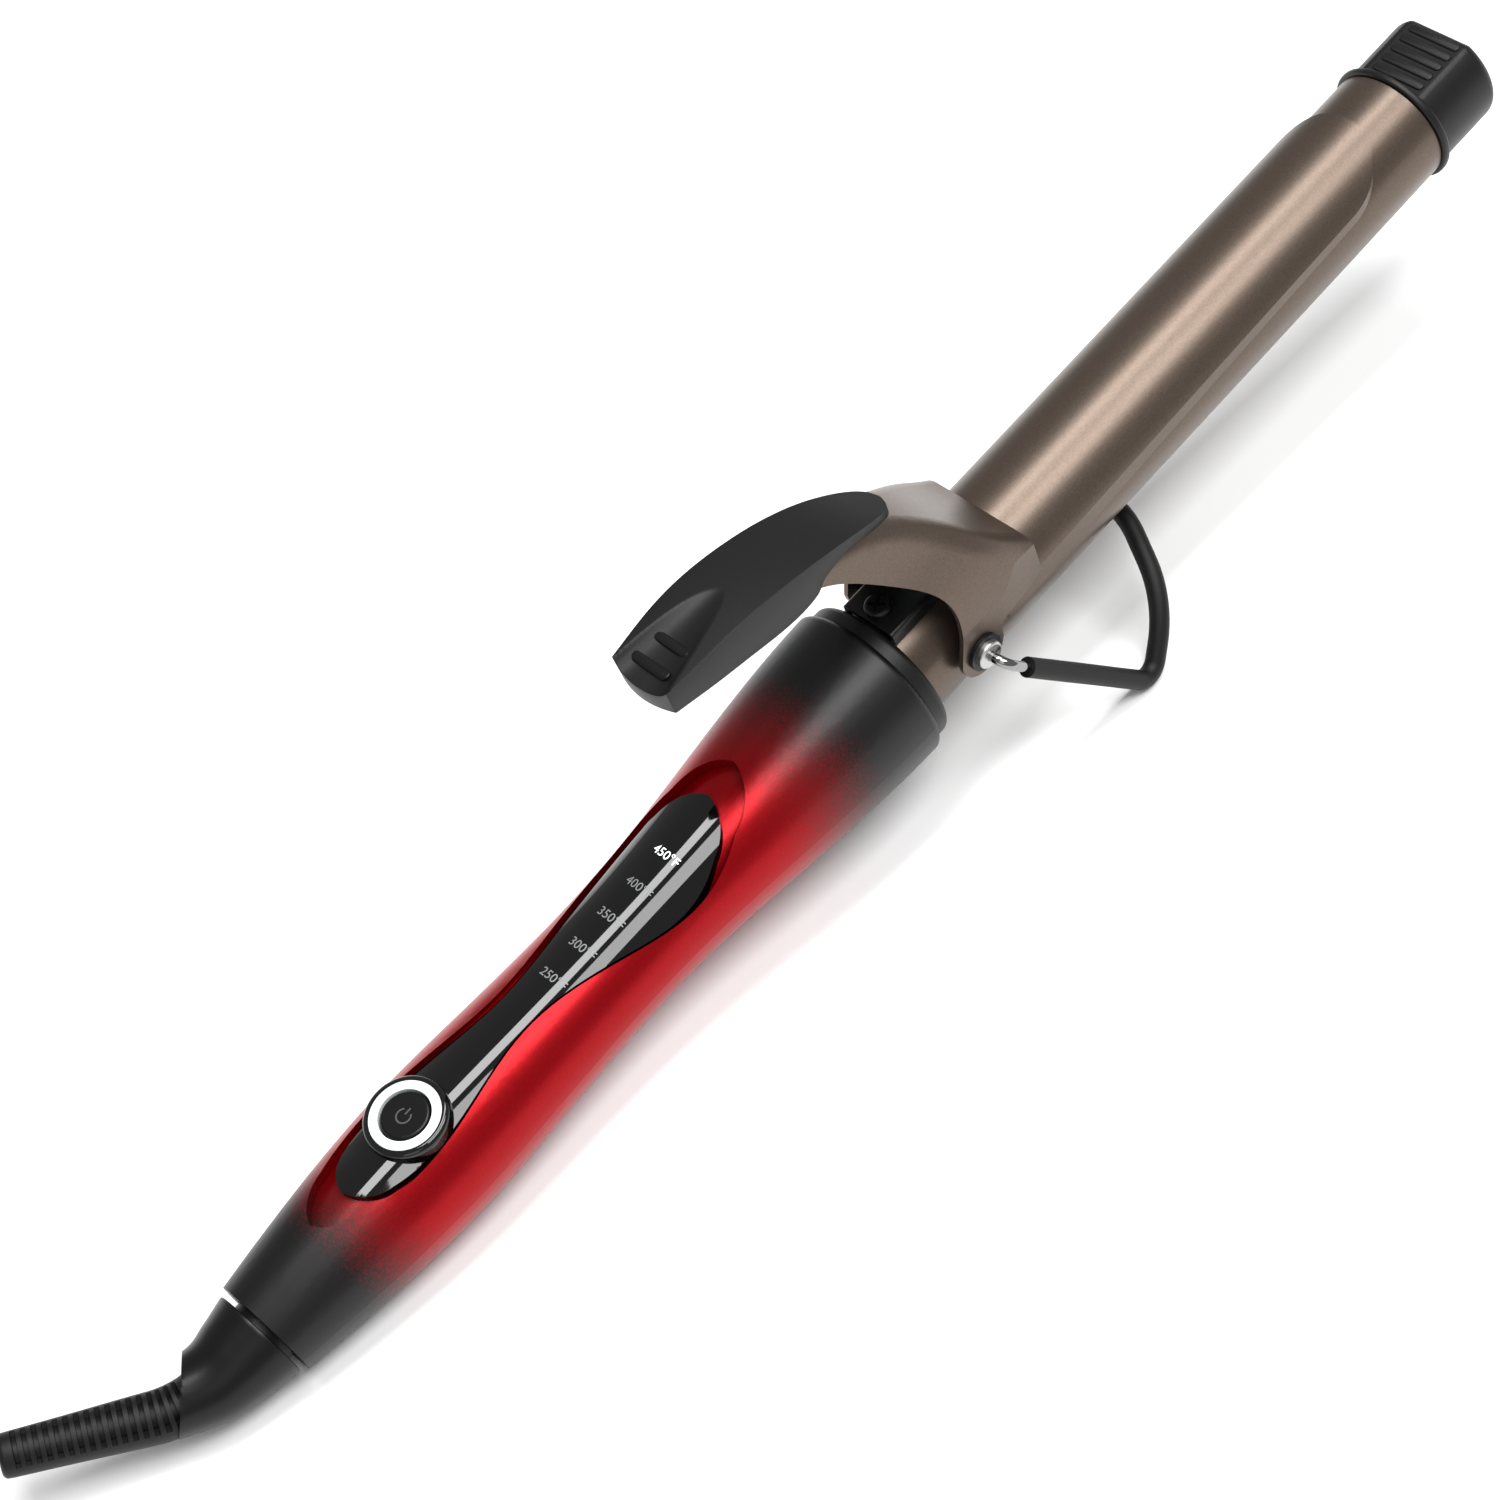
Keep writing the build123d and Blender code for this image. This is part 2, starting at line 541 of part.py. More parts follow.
def stand_path(sleeve_share=None):
    """The centre line: tang, leg, corner, arch and the same mirrored; a sleeve share starts it along the leg."""
    pivot = Vector(PIVOT_X, 0, PIVOT_Z)
    rise = Vector(STAND_RISE[0], 0, STAND_RISE[1])
    bend = pivot + Vector(0, -STAND_TANG_Y, 0)
    corner = pivot + Vector(STAND_CORNER[0], -STAND_CORNER[1], STAND_CORNER[2])
    shoulder = Vector(corner.X, -STAND_SHOULDER[1], corner.Z) + rise * STAND_SHOULDER[0]
    peak = Vector(corner.X, 0, corner.Z) + rise * STAND_PEAK
    if sleeve_share is None:
        half = [pivot + Vector(0, -WIRE_TANG_START, 0), bend, corner, shoulder]
        radii = STAND_RADII[:3]
    else:
        half = [bend + (corner - bend) * sleeve_share, corner, shoulder]
        radii = STAND_RADII[1:3]
    points = half + [peak] + [Vector(p.X, -p.Y, p.Z) for p in reversed(half)]
    return points, [*radii, STAND_RADII[3], *reversed(radii)]


def stand_rod(radius, sleeve_share=None):
    """A round rod along the stand's centre line."""
    points, radii = stand_path(sleeve_share)
    with BuildPart() as rod:
        with BuildLine() as line:
            route = FilletPolyline(*points, radius=radii)
        with BuildSketch(Plane(origin=route @ 0, z_dir=route % 0)):
            Circle(radius)
        sweep(path=line.wires()[0])
    return rod.part, line.wires()[0]


wire_solid, wire_line = stand_rod(WIRE_R)

with BuildPart() as stand_wire:
    add(wire_solid)
keep("stand_wire", stand_wire)

with BuildPart() as stand_sleeve:
    add(stand_rod(SLEEVE_R, SLEEVE_START)[0])
    add(stand_rod(WIRE_R + SLEEVE_GAP, SLEEVE_START - SLEEVE_OVERRUN)[0], mode=Mode.SUBTRACT)
keep("stand_sleeve", stand_sleeve)

# ---------------------------------------------------------------- swivel cap and strain relief


def bend_plane(x, out, angle):
    """A plane across the cord's way, turned from -X towards BEND."""
    heading = Vector(-cos(radians(angle)), 0, 0) + BEND * sin(radians(angle))
    return Plane(origin=Vector(x, 0, 0) + BEND * out, x_dir=Vector(1, 0, 0).cross(BEND), z_dir=heading)


def cap_form(inset):
    """The bent cap as a loft of circles."""
    with BuildPart() as form:
        for x, out, angle, radius in CAP_SECTIONS:
            with BuildSketch(bend_plane(x, out, angle)):
                Circle(radius - inset)
        loft()
    return form.part


relief_end_angle = radians(RELIEF_ANGLE)
BEND_END = (RELIEF_BEND_X - RELIEF_BEND_R * sin(relief_end_angle),
            RELIEF_BEND_R * (1 - cos(relief_end_angle)))


def relief_plane(distance):
    """The plane across the strain relief, at a distance along it from the start of its bend."""
    arc_length = RELIEF_BEND_R * relief_end_angle
    if distance < arc_length:
        turned = distance / RELIEF_BEND_R
        return bend_plane(RELIEF_BEND_X - RELIEF_BEND_R * sin(turned), RELIEF_BEND_R * (1 - cos(turned)),
                          degrees(turned))
    run = distance - arc_length
    return bend_plane(BEND_END[0] - run * cos(relief_end_angle), BEND_END[1] + run * sin(relief_end_angle),
                      RELIEF_ANGLE)


RELIEF_LENGTH = RELIEF_BEND_R * relief_end_angle + RELIEF_STRAIGHT


def relief_form(r_start, r_end, start, end):
    """The strain relief's round taper, from one distance along it to another."""
    with BuildPart() as form:
        stations = [start + (end - start) * k / 6 for k in range(7)]
        for station in stations:
            share = station / RELIEF_LENGTH
            with BuildSketch(relief_plane(station)):
                Circle(r_start + (r_end - r_start) * share)
        loft()
    return form.part


with BuildPart() as swivel_cap:
    add(cap_form(0))
    mouth = Plane(origin=Vector(-19.0, 0, 0) + BEND * 2.4, x_dir=Vector(1, 0, 0).cross(BEND),
                  z_dir=Vector(-0.672, 0, 0) + BEND * 0.74)
    split(bisect_by=mouth, keep=Keep.BOTTOM)
    add(relief_form(RELIEF_R[0] + 0.2, RELIEF_R[1] + 0.2, 0, 16), mode=Mode.SUBTRACT)
    add(cap_form(1.5) & block((-40, CAP_X - 1.8), (-30, 30), (-30, 30)), mode=Mode.SUBTRACT)
    add(ring(-6, 0, 4.4, 0), mode=Mode.SUBTRACT)
keep("swivel_cap", swivel_cap)

with BuildPart() as strain_relief:
    add(relief_form(RELIEF_R[0], RELIEF_R[1], 0, RELIEF_LENGTH))
    fillet(strain_relief.faces().sort_by(Axis.X)[0].edges(), 1.2)
    add(disc(bend_plane(-9.5, 0, 0), 5.9, 2.8))
    add(disc(bend_plane(-6, 0, 0), RELIEF_BORE_R, 6.3), mode=Mode.SUBTRACT)
    bend_bore_r = RELIEF_BORE_R + 0.1
    add(relief_form(bend_bore_r, bend_bore_r, 0, RELIEF_LENGTH - RELIEF_STRAIGHT + 0.3), mode=Mode.SUBTRACT)
    straight = relief_plane(RELIEF_LENGTH - RELIEF_STRAIGHT)
    add(disc(straight, RELIEF_BORE_R, RELIEF_STRAIGHT + 1), mode=Mode.SUBTRACT)
    slot_count = int((RELIEF_LENGTH - 10.5) / RELIEF_PITCH)
    for number in range(slot_count):
        station = RELIEF_LENGTH - 2.4 - number * RELIEF_PITCH
        side = 1 if number % 2 else -1
        with BuildSketch(relief_plane(station)):
            Circle(6)
            Circle(RELIEF_BORE_R + 0.35, mode=Mode.SUBTRACT)
            with Locations((side * 6.6, -1.2)):
                Rectangle(12, 8.4, mode=Mode.INTERSECT)
        extrude(amount=RELIEF_SLOT, mode=Mode.SUBTRACT)
keep("strain_relief", strain_relief)

with BuildPart() as swivel_spindle:
    add(ring(-6, CAP_X, 4.35, 0))
    add(ring(CAP_X, 2.6, NECK_R, 0))
    add(ring(2.6, 13.5, 4.6, 0))
    add(ring(2.7, 3.7, 8.0, 0))
    add(ring(-10, 20, 3.0, 0), mode=Mode.SUBTRACT)
keep("swivel_spindle", swivel_spindle)

with BuildPart() as slip_rings:
    for ring_x in (5.4, 9.4):
        add(ring(ring_x, ring_x + 2.0, 5.6, 4.6))
keep("slip_rings", slip_rings)

with BuildPart() as swivel_socket:
    add(ring(2.3, 14.6, 9.4, 0) & handle_body(HANDLE_WALL + 0.02))
    add(ring(2.0, 14.0, 8.3, 0), mode=Mode.SUBTRACT)
    add(ring(2.0, 16.0, 4.65, 0), mode=Mode.SUBTRACT)
keep("swivel_socket", swivel_socket)

with BuildPart() as contact_springs:
    for contact_x in (5.9, 9.9):
        add(block((contact_x, contact_x + 1.0), (-3.0, 3.0), (-7.0, -6.5)))
        add(block((contact_x, contact_x + 1.0), (2.5, 3.0), (-7.0, -5.95)))
        add(block((contact_x, contact_x + 1.0), (-3.0, -2.5), (-7.6, -6.5)))
keep("contact_springs", contact_springs)

# ---------------------------------------------------------------- resting attitude and export

# The iron leans until both corners of the stand and the handle's lower rim touch the table.
rim_r = HANDLE_SIDE[0][1]
stand_samples = [wire_line.position_at(k / 400) for k in range(401)]
LEAN = max(degrees(atan2(-p.Z - rim_r, p.X) + asin(SLEEVE_R / hypot(p.X, p.Z + rim_r)))
           for p in stand_samples)
leaned = {name: piece.moved(Location((0, 0, 0), (0, -LEAN, 0))) for name, piece in pieces.items()}
box = Compound(children=[piece.moved(Location((0, 0, 0))) for piece in leaned.values()]).bounding_box()
REST = Location((-(box.min.X + box.max.X) / 2, -(box.min.Y + box.max.Y) / 2, -box.min.Z))

for name, piece in leaned.items():
    placed = piece.moved(REST)
    placed.label = name
    export_step(placed, f"parts/{name}.step")
print("lean", LEAN, "rest", REST.position, "box", box.size)
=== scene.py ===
"""Curling iron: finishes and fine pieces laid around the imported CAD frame."""
import json
import math

import bmesh
import bpy
from mathutils import Euler, Matrix, Vector
from mathutils.bvhtree import BVHTree


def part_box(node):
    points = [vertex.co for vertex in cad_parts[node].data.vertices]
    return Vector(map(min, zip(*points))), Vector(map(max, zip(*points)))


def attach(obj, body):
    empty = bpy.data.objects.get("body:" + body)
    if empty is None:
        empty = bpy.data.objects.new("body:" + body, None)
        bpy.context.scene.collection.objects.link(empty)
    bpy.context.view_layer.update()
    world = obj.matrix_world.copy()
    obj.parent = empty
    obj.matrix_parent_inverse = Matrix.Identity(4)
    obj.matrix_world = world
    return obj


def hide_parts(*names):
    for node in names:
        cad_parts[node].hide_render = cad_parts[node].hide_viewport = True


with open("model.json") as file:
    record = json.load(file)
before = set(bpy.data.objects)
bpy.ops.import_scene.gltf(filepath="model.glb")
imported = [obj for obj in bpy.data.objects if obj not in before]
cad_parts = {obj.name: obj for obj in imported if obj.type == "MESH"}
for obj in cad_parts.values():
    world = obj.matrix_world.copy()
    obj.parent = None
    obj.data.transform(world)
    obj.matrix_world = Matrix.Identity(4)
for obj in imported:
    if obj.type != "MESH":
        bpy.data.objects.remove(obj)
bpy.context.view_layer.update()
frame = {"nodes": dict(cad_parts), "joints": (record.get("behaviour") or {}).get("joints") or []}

MM = 0.001

# The iron's own frame: X runs up the barrel from the handle's lower rim, Z points to the button side.
swivel = next(joint for joint in frame["joints"] if joint["name"] == "cord_swivel")
IRON_ORIGIN = Vector(swivel["pos_m"])
IRON_X = Vector(swivel["axis"]).normalized()
LEAN = math.asin(IRON_X.z)
IRON_TURN = Euler((0, -LEAN, 0))
IRON = Matrix.Translation(IRON_ORIGIN) @ IRON_TURN.to_matrix().to_4x4()


def iron(x, y, z):
    """A point of the iron's frame, given in millimetres, as a place in the row frame in metres."""
    return IRON @ (Vector((x, y, z)) * MM)


# ---------------------------------------------------------------- materials

def linear(hex_colour):
    """An sRGB colour such as "A0B1C2" as linear RGBA."""
    shares = [int(hex_colour[i:i + 2], 16) / 255 for i in (0, 2, 4)]
    return (*(c / 12.92 if c <= 0.04045 else ((c + 0.055) / 1.055) ** 2.4 for c in shares), 1.0)


def add(tree, kind, inputs=None, **properties):
    """Adds one node: its properties first, then for each input a value or the output that feeds it."""
    made = tree.nodes.new(kind)
    for name, value in properties.items():
        setattr(made, name, value)
    for socket, value in (inputs or {}).items():
        if isinstance(value, bpy.types.NodeSocket):
            tree.links.new(value, made.inputs[socket])
        else:
            made.inputs[socket].default_value = value
    return made


def start_material(name):
    """An empty material and its tree, with the iron's frame in millimetres as the pattern's coordinates."""
    made = bpy.data.materials.new(name)
    made.use_nodes = True
    tree = made.node_tree
    tree.nodes.clear()
    spot = add(tree, "ShaderNodeTexCoord")
    on_iron = add(tree, "ShaderNodeMapping", {
        "Vector": spot.outputs["Object"],
        "Location": IRON_ORIGIN,
        "Rotation": IRON_TURN,
        "Scale": (MM, MM, MM),
    }, vector_type="TEXTURE")
    return made, tree, on_iron.outputs["Vector"]


def end_material(tree, inputs):
    """The shader and the output that close a material's tree."""
    shader = add(tree, "ShaderNodeBsdfPrincipled", inputs)
    add(tree, "ShaderNodeOutputMaterial", {"Surface": shader.outputs["BSDF"]})


# Millimetres along the handle, black first, and how far the sprayed droplets scatter the fade.
LOWER_FADE = (21.5, 41.5)
UPPER_FADE = (156.5, 128.5)
FADE_SPECKLE = 14.0
# Patterns per millimetre. Real flakes are some 0.04 mm across, too fine to show, and are drawn about 0.2 mm.
SPRAY_DROPS = 2.2
PAINT_FLAKES = 6.0
ENAMEL_FLAKES = 5.0
ENAMEL_HAZE = 1.4
FLAKE_HEIGHT = 0.02
PAINT_METAL = 0.75
ENAMEL_METAL = 0.8
# The black paint and plastics reflect less than a smooth surface would, because their grain is dull.
PAINT_SPECULAR = 0.28
PLASTIC_SPECULAR = 0.25


def candy_red_paint():
    """Spray-painted ABS: metallic red over silver base, faded to satin black at both ends by an airbrush."""
    made, tree, on_iron = start_material("candy_red_spray_on_abs")
    along = add(tree, "ShaderNodeSeparateXYZ", {"Vector": on_iron}).outputs["X"]
    speckle = add(tree, "ShaderNodeTexNoise", {"Vector": on_iron, "Scale": SPRAY_DROPS, "Detail": 2.0})
    drift = add(tree, "ShaderNodeMath", {
        0: speckle.outputs["Fac"], 1: FADE_SPECKLE, 2: along}, operation="MULTIPLY_ADD")
    low = add(tree, "ShaderNodeMapRange", {
        "Value": drift.outputs[0], "From Min": LOWER_FADE[0], "From Max": LOWER_FADE[1],
    }, interpolation_type="SMOOTHSTEP")
    high = add(tree, "ShaderNodeMapRange", {
        "Value": drift.outputs[0], "From Min": UPPER_FADE[0], "From Max": UPPER_FADE[1],
    }, interpolation_type="SMOOTHSTEP")
    red = add(tree, "ShaderNodeMath", {0: low.outputs[0], 1: high.outputs[0]}, operation="MULTIPLY")
    flake = add(tree, "ShaderNodeTexVoronoi", {"Vector": on_iron, "Scale": PAINT_FLAKES})
    flake_tone = add(tree, "ShaderNodeMapRange", {
        "Value": flake.outputs["Color"], "To Min": 0.82, "To Max": 1.18})
    candy = add(tree, "ShaderNodeMix", {
        "Factor": red.outputs[0], "A": linear("080808"), "B": linear("94000A")}, data_type="RGBA")
    toned = add(tree, "ShaderNodeVectorMath", {
        0: candy.outputs["Result"], "Scale": flake_tone.outputs[0]}, operation="SCALE")
    metal = add(tree, "ShaderNodeMath", {0: red.outputs[0], 1: PAINT_METAL}, operation="MULTIPLY")
    rough = add(tree, "ShaderNodeMapRange", {"Value": red.outputs[0], "To Min": 0.42, "To Max": 0.34})
    grain = add(tree, "ShaderNodeBump", {
        "Height": flake.outputs["Distance"], "Strength": 0.05, "Distance": FLAKE_HEIGHT * MM})
    end_material(tree, {
        "Base Color": toned.outputs[0], "Metallic": metal.outputs[0],
        "Roughness": rough.outputs[0], "Normal": grain.outputs[0],
        "Coat Weight": 0.1, "Coat Roughness": 0.25, "Specular IOR Level": PAINT_SPECULAR,
    })
    return made


def bronze_coating():
    """Ceramic-loaded bronze enamel, sprayed and baked on aluminium: fine metallic grain, satin sheen."""
    made, tree, on_iron = start_material("bronze_enamel_baked_on_aluminium")
    flake = add(tree, "ShaderNodeTexVoronoi", {"Vector": on_iron, "Scale": ENAMEL_FLAKES})
    tone = add(tree, "ShaderNodeMapRange", {"Value": flake.outputs["Color"], "To Min": 0.85, "To Max": 1.15})
    toned = add(tree, "ShaderNodeVectorMath", {
        0: linear("5C5047")[:3], "Scale": tone.outputs[0]}, operation="SCALE")
    haze = add(tree, "ShaderNodeTexNoise", {"Vector": on_iron, "Scale": ENAMEL_HAZE, "Detail": 3.0})
    rough = add(tree, "ShaderNodeMapRange", {"Value": haze.outputs["Fac"], "To Min": 0.30, "To Max": 0.38})
    grain = add(tree, "ShaderNodeBump", {
        "Height": flake.outputs["Distance"], "Strength": 0.06, "Distance": FLAKE_HEIGHT * MM})
    end_material(tree, {
        "Base Color": toned.outputs[0], "Metallic": ENAMEL_METAL,
        "Roughness": rough.outputs[0], "Normal": grain.outputs[0],
    })
    return made


def moulded_black(name, hex_colour, roughness, grit, depth):
    """Black plastic from a spark-eroded mould: grit is its grain and depth its height, both in mm."""
    made, tree, on_iron = start_material(name)
    grain = add(tree, "ShaderNodeTexNoise", {"Vector": on_iron, "Scale": 1 / grit, "Detail": 3.0})
    rough = add(tree, "ShaderNodeMapRange", {
        "Value": grain.outputs["Fac"], "To Min": roughness - 0.05, "To Max": roughness + 0.05})
    bump = add(tree, "ShaderNodeBump", {
        "Height": grain.outputs["Fac"], "Strength": 1.0, "Distance": depth * MM})
    end_material(tree, {
        "Base Color": linear(hex_colour), "Roughness": rough.outputs[0],
        "Normal": bump.outputs[0], "Specular IOR Level": PLASTIC_SPECULAR,
    })
    return made


def plain(name, hex_colour, roughness, metallic=0.0, grit=0.5, **extra):
    """A hidden or small part's finish: one colour with the slight unevenness of its process."""
    made, tree, on_iron = start_material(name)
    cloud = add(tree, "ShaderNodeTexNoise", {"Vector": on_iron, "Scale": 1 / grit, "Detail": 2.0})
    tone = add(tree, "ShaderNodeMapRange", {"Value": cloud.outputs["Fac"], "To Min": 0.9, "To Max": 1.1})
    toned = add(tree, "ShaderNodeVectorMath", {
        0: linear(hex_colour)[:3], "Scale": tone.outputs[0]}, operation="SCALE")
    rough = add(tree, "ShaderNodeMapRange", {
        "Value": cloud.outputs["Fac"], "To Min": roughness * 0.85, "To Max": roughness * 1.15})
    end_material(tree, {
        "Base Color": toned.outputs[0], "Metallic": metallic, "Roughness": rough.outputs[0], **extra})
    return made


RED = candy_red_paint()
BRONZE = bronze_coating()
# Moulded ABS with a spark-eroded grain: soft, broad highlights.
MATTE = moulded_black("black_abs_spark_textured", "0E0F0E", 0.42, 0.25, 0.02)
SATIN = moulded_black("black_abs_satin_moulded", "0A0A0A", 0.32, 0.3, 0.01)
# Shrunk silicone sleeve: duller than the plastic.
SLEEVE = moulded_black("silicone_heat_shrink_sleeve", "0A0A0A", 0.55, 0.4, 0.02)
# Soft PVC of the strain relief: dull, so the slots read black.
RELIEF = moulded_black("pvc_moulded_relief", "0C0C0C", 0.5, 0.3, 0.02)
# Polished smoked acrylic: near black, mirrors the softboxes.
LENS = plain("smoked_acrylic_polished", "050506", 0.04)
# The mark that is lit from behind, the unlit ones and the faint print on the button.
GLOW = plain("acrylic_mark_lit", "F4F8F8", 0.4, **{
    "Emission Color": linear("F4FAFF"), "Emission Strength": 0.9})
PRINT = plain("acrylic_mark_unlit", "7C7E7E", 0.4)
FAINT = plain("grey_pad_print", "4A4C4C", 0.35)
# High-gloss black ABS of the bezel and the milky lit ring inside it.
PIANO = plain("black_abs_high_gloss", "0A0A0A", 0.08)
LIT = plain("polycarbonate_milky_lit", "E8F0F0", 0.3)
# Plated, chromed and blackened steel of screws, stand and bracket.
ZINC = plain("steel_zinc_plated", "B4B4B4", 0.34, 1.0)
CHROME = plain("steel_bright_chromed", "8C8C8C", 0.08, 1.0)
BLACK_OXIDE = plain("steel_black_oxide", "151515", 0.35, 0.4)
SPRING = plain("spring_steel_rolled", "80848A", 0.3, 1.0)
# Hidden heater and board parts, seen only when the iron is taken apart.
CERAMIC = plain("steatite_ceramic_fired", "E4DED0", 0.6)
ALUMINIUM = plain("aluminium_extruded", "C8C8C8", 0.35, 1.0)
BOARD = plain("epoxy_glass_solder_mask", "0F4A24", 0.3)
BRASS = plain("brass_stamped", "B8934A", 0.25, 1.0)
FILM = plain("polyimide_film_wound", "A86818", 0.2)
LEAD = plain("silicone_wire_insulation", "D8D8D8", 0.5)

FINISHES = {
    RED: "handle_top_shell handle_bottom_shell",
    BRONZE: "barrel_tube clamp_plate",
    MATTE: "collar_ring cool_tip thumb_rest hinge_bush_left hinge_bush_right board_spacers tact_switch"
           " power_triac swivel_spindle swivel_socket",
    SATIN: "swivel_cap power_button",
    SLEEVE: "stand_sleeve",
    RELIEF: "strain_relief",
    LENS: "display_lens",
    PIANO: "button_bezel",
    LIT: "ring_light_guide indicator_leds",
    ZINC: "handle_screws hinge_screw_left hinge_screw_right thumb_rest_screws thermal_fuse",
    CHROME: "stand_wire",
    BLACK_OXIDE: "spring_bracket spring_screw",
    SPRING: "clamp_spring heater_wedges",
    CERAMIC: "barrel_mount hinge_block ptc_element thermistor tip_plug",
    ALUMINIUM: "heater_half_upper heater_half_lower",
    BOARD: "circuit_board",
    BRASS: "slip_rings contact_springs",
    FILM: "insulation_film",
    LEAD: "heater_leads",
}
for finish, names in FINISHES.items():
    for name in names.split():
        node = frame["nodes"][name]
        node.data.materials.clear()
        node.data.materials.append(finish)

# ---------------------------------------------------------------- mesh work

def eased(points, x):
    """The value at x on a smooth curve through (x, value) points."""
    index = min(len(points) - 2, sum(1 for point in points[1:-1] if point[0] <= x))
    (x0, v0), (x1, v1) = points[index], points[index + 1]
    before = points[index - 1] if index else (2 * x0 - x1, 2 * v0 - v1)
    after = points[index + 2] if index + 2 < len(points) else (2 * x1 - x0, 2 * v1 - v0)
    rise0 = (v1 - before[1]) / (x1 - before[0]) * (x1 - x0)
    rise1 = (after[1] - v0) / (after[0] - x0) * (x1 - x0)
    t = (x - x0) / (x1 - x0)
    return (((2 * t - 3) * t * t + 1) * v0 + ((t - 2) * t + 1) * t * rise0
            + (3 - 2 * t) * t * t * v1 + (t - 1) * t * t * rise1)


def evenly(first, last, count):
    """Count values from first to last."""
    return [first + (last - first) * k / (count - 1) for k in range(count)]


def skin(name, rows, around=False, caps=False):
    """A mesh over rows of points in iron millimetres; around closes the rows, caps fan the end rows shut."""
    form = bmesh.new()
    grid = [[form.verts.new(point) for point in row] for row in rows]
    for row, following in zip(grid, grid[1:]):
        pairs = [*zip(row, row[1:] + row[:1])][:None if around else -1]
        others = [*zip(following, following[1:] + following[:1])][:None if around else -1]
        for (p, q), (r, s) in zip(pairs, others):
            form.faces.new((p, q, s, r))
    if caps:
        for row in (grid[0], grid[-1]):
            middle = form.verts.new(sum((v.co for v in row), Vector()) / len(row))
            for p, q in zip(row, row[1:] + row[:1]):
                form.faces.new((p, q, middle))
    bmesh.ops.remove_doubles(form, verts=form.verts, dist=1e-4)
    bmesh.ops.recalc_face_normals(form, faces=form.faces)
    mesh = bpy.data.meshes.new(name)
    form.to_mesh(mesh)
    form.free()
    return mesh


def shown(name, mesh):
    """A new object for a mesh, in the scene."""
    made = bpy.data.objects.new(name, mesh)
    bpy.context.scene.collection.objects.link(made)
    return made


def settled(name, mesh, look, body, stands_for=(), place=IRON, modifiers=(), sharp=35):
    """Applies the modifiers, sets the mesh in the row frame and lets the piece ride on its body."""
    draft = shown(name + "_draft", mesh)
    for kind, settings in modifiers:
        modifier = draft.modifiers.new(kind, kind)
        for key, value in settings.items():
            setattr(modifier, key, value)
    done = bpy.data.meshes.new_from_object(draft.evaluated_get(bpy.context.evaluated_depsgraph_get()))
    bpy.data.objects.remove(draft)
    done.name = name
    done.transform(place @ Matrix.Scale(MM, 4))
    done.materials.clear()
    done.materials.append(look)
    done.polygons.foreach_set("material_index", [0] * len(done.polygons))
    done.shade_smooth()
    done.set_sharp_from_angle(angle=math.radians(sharp))
    made = shown(name, done)
    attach(made, body)
    if stands_for:
        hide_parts(*stands_for)
    return made


def rounding(width, segments=3, angle=40):
    """A bevel modifier's settings, its width in millimetres."""
    return ("BEVEL", {"width": width, "segments": segments, "limit_method": "ANGLE",
                      "angle_limit": math.radians(angle), "harden_normals": False})


def start_tree(name, sizes):
    """A geometry tree with one named float input for each size; returns the tree and its input node."""
    tree = bpy.data.node_groups.new(name, "GeometryNodeTree")
    tree.interface.new_socket("Geometry", in_out="INPUT", socket_type="NodeSocketGeometry")
    for size in sizes:
        tree.interface.new_socket(size, in_out="INPUT", socket_type="NodeSocketFloat")
    tree.interface.new_socket("Geometry", in_out="OUTPUT", socket_type="NodeSocketGeometry")
    return tree, add(tree, "NodeGroupInput").outputs


def end_tree(tree, geometry, look):
    """Realize Instances and Set Material, which close a geometry tree."""
    real = add(tree, "GeometryNodeRealizeInstances", {"Geometry": geometry})
    painted = add(tree, "GeometryNodeSetMaterial", {"Geometry": real.outputs[0], "Material": look})
    add(tree, "NodeGroupOutput", {"Geometry": painted.outputs[0]})


def grown(tree, sizes, modifiers=()):
    """The mesh that a geometry tree grows from its sizes, in millimetres."""
    seed = shown(tree.name + "_seed", bpy.data.meshes.new(tree.name))
    modifier = seed.modifiers.new("grow", "NODES")
    modifier.node_group = tree
    sockets = {s.name: s.identifier for s in tree.interface.items_tree if s.in_out == "INPUT"}
    for name, value in sizes.items():
        modifier[sockets[name]] = float(value)
    for kind, settings in modifiers:
        later = seed.modifiers.new(kind, kind)
        for key, value in settings.items():
            setattr(later, key, value)
    mesh = bpy.data.meshes.new_from_object(seed.evaluated_get(bpy.context.evaluated_depsgraph_get()))
    bpy.data.objects.remove(seed)
    return mesh


def joined(name, meshes):
    """Several meshes as one."""
    form = bmesh.new()
    for mesh in meshes:
        form.from_mesh(mesh)
    whole = bpy.data.meshes.new(name)
    form.to_mesh(whole)
    form.free()
    return whole


def placed(mesh, matrix):
    """A copy of a mesh, moved by a matrix whose lengths are millimetres."""
    copy = mesh.copy()
    copy.transform(matrix)
    return copy


# ---------------------------------------------------------------- thumb rest

THUMB_PLAN = [(121.3, 7.0), (132, 7.9), (143, 8.1), (154, 7.8), (163, 7.1), (170, 6.0), (175.5, 4.4),
              (178.2, 2.4), (179.0, 0.25)]
THUMB_TOP = [(119.5, 55.6), (134, 56.4), (143, 55.6), (154, 52.9), (163, 49.5), (170, 45.9), (179.5, 39.8)]
THUMB_UNDER = [(119.5, 49.8), (136, 46.8), (149, 43.9), (155.5, 43.8), (158.5, 45.6), (166.5, 45.0),
               (179.5, 37.4)]
THUMB_BULGE = 1.4
THUMB_CROWN = 0.25
SCOOP_X = (120.0, 142.5)
SCOOP_HALF_WIDTH = 6.9
SCOOP_DEPTH = 1.9
SCOOP_FALL = 2.2
THUMB_STATIONS = 170
THUMB_COLUMNS = 49
THUMB_BULGE_STATIONS = 20
THUMB_DRAFT = 0.97
MOULD_ROUNDING = 0.35


